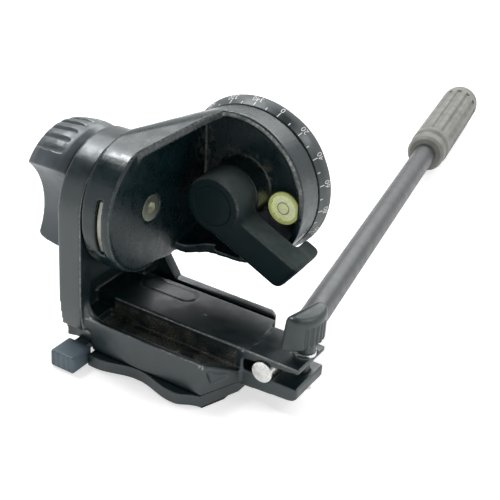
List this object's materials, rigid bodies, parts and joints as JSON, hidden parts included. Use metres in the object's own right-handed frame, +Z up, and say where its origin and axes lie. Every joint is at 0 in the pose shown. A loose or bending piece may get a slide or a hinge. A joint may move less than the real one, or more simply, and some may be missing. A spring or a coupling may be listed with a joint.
{
  "type": "fluid video head",
  "caption": "Compact fluid video head with pan bar, tilt drum, degree scale and spirit level, lying on its sliding camera plate",
  "frame": {"origin": "middle of the camera plate's pad face, straight under the crossing of the tilt and pan axes' plane", "axes": "X along the tilt axis from tilt knob to handle clamp, Y from the platform's front to the grip, Z up out of the camera plate"},
  "size_m": [0.1214, 0.3748, 0.1028],
  "materials": {
    "black_casting": "satin black paint, fine orange peel, worn edges",
    "base_casting": "satin black paint with white scale",
    "bright_steel": "turned, zinc plated",
    "insert_brass": "turned",
    "bearing_plastic": "natural",
    "pale_sleeve": "natural, greased",
    "level_yellow": "clear",
    "level_liquid": "tinted liquid",
    "level_air": "air bubble",
    "level_glass": "clear",
    "black_rubber": "matt",
    "lever_plastic": "satin black",
    "knob_plastic": "satin black",
    "tube_black": "satin black",
    "grip_rubber": "matt, ribbed"
  },
  "bodies": {
    "bracket": {"platform_bracket": "black_casting", "axle_bush": "bearing_plastic", "clamp_nut": "bright_steel", "release_pin": "bright_steel", "release_spring": "bright_steel"},
    "tilt_body": {"body_casting": "black_casting", "tilt_sleeve": "pale_sleeve", "tilt_friction_disc": "bearing_plastic", "tilt_axle": "bright_steel", "pan_bush": "bearing_plastic", "level_cup": "level_yellow", "level_fluid": "level_liquid", "level_bubble": "level_air", "level_window": "level_glass"},
    "base": {"pan_base": "base_casting", "pan_spindle": "bright_steel", "pan_friction_ring": "bearing_plastic", "tripod_bush": "insert_brass", "base_pad": "black_rubber"},
    "pan_lock": {"pan_lever": "lever_plastic", "lever_plate": "lever_plastic", "lever_nut": "insert_brass"},
    "tilt_lock": {"tilt_knob": "knob_plastic", "knob_insert": "insert_brass", "knob_washer": "bright_steel", "knob_cap": "knob_plastic"},
    "clamp_knob": {"wing_knob": "knob_plastic", "clamp_bolt": "bright_steel", "clamp_washer": "bright_steel"},
    "handle": {"handle_rod": "bright_steel", "handle_bend": "tube_black", "handle_tube": "tube_black", "handle_grip": "grip_rubber", "grip_end": "grip_rubber"},
    "release": {"release_lever": "knob_plastic"},
    "plate": {"camera_plate": "black_casting", "plate_pad": "black_rubber"},
    "screw_slider": {"screw_washer": "bright_steel"},
    "screw": {"camera_screw": "bright_steel"}
  },
  "joints": [
    {"name": "tilt", "type": "hinge", "parent": "bracket", "child": "tilt_body", "pos_m": [0, 0, 0.0645], "axis": [1, 0, 0], "range_deg": [-2.4, 147]},
    {"name": "pan", "type": "hinge", "parent": "tilt_body", "child": "base", "pos_m": [0, -0.00006, 0.066], "axis": [0, 0.9991, 0.0419], "continuous": true},
    {"name": "pan_lock_turn", "type": "hinge", "parent": "tilt_body", "child": "pan_lock", "pos_m": [0, -0.00006, 0.066], "axis": [0, 0.9991, 0.0419], "range_deg": [-25, 38]},
    {"name": "tilt_lock_turn", "type": "hinge", "parent": "tilt_body", "child": "tilt_lock", "pos_m": [0, 0, 0.0645], "axis": [1, 0, 0], "range_deg": [-180, 180]},
    {"name": "clamp_turn", "type": "hinge", "parent": "bracket", "child": "clamp_knob", "pos_m": [0.0505, 0.007, 0.02], "axis": [0, 0, 1], "range_deg": [-180, 180]},
    {"name": "handle_turn", "type": "hinge", "parent": "bracket", "child": "handle", "pos_m": [0.0397, 0, 0.0148], "axis": [0, 1, 0], "range_deg": [0, 90]},
    {"name": "release_swing", "type": "hinge", "parent": "bracket", "child": "release", "pos_m": [-0.0382, -0.008, 0.004], "axis": [0, 0, 1], "range_deg": [-25, 0], "stiffness_Nm_per_rad": 0.05},
    {"name": "plate_slide", "type": "slide", "parent": "bracket", "child": "plate", "axis": [0, 1, 0], "range_m": [0, 0.06]},
    {"name": "screw_drop", "type": "slide", "parent": "plate", "child": "screw_slider", "axis": [0, 0, -1], "range_m": [0, 0.0036]},
    {"name": "screw_turn", "type": "hinge", "parent": "screw_slider", "child": "screw", "pos_m": [0, 0, 0.006], "axis": [0, 0, 1], "continuous": true}
  ]
}
